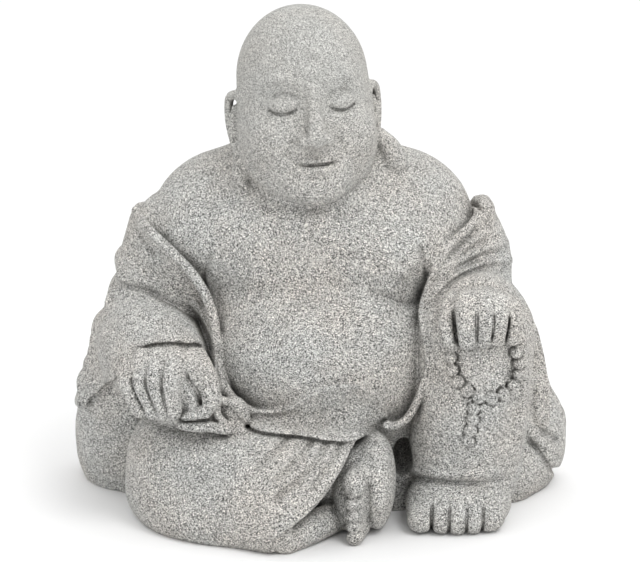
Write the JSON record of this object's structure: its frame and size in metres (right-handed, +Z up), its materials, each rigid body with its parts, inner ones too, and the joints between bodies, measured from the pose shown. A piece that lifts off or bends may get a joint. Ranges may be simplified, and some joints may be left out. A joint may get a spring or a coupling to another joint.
{
  "type": "concrete buddha statue",
  "caption": "Cast concrete garden statue of a seated, stout monk in an open robe, holding a string of beads on the raised knee.",
  "frame": {"origin": "centre of the bounding box's bottom face, on the ground under the middle of the statue", "axes": "+Z up; the figure faces -Y; +X to its left, which is the viewer's right"},
  "size_m": [0.4032, 0.2946, 0.4003],
  "materials": {
    "concrete": "matt, fine-grained cast concrete with dark and light grains"
  },
  "bodies": {
    "root": {"statue": "concrete"}
  },
  "joints": []
}
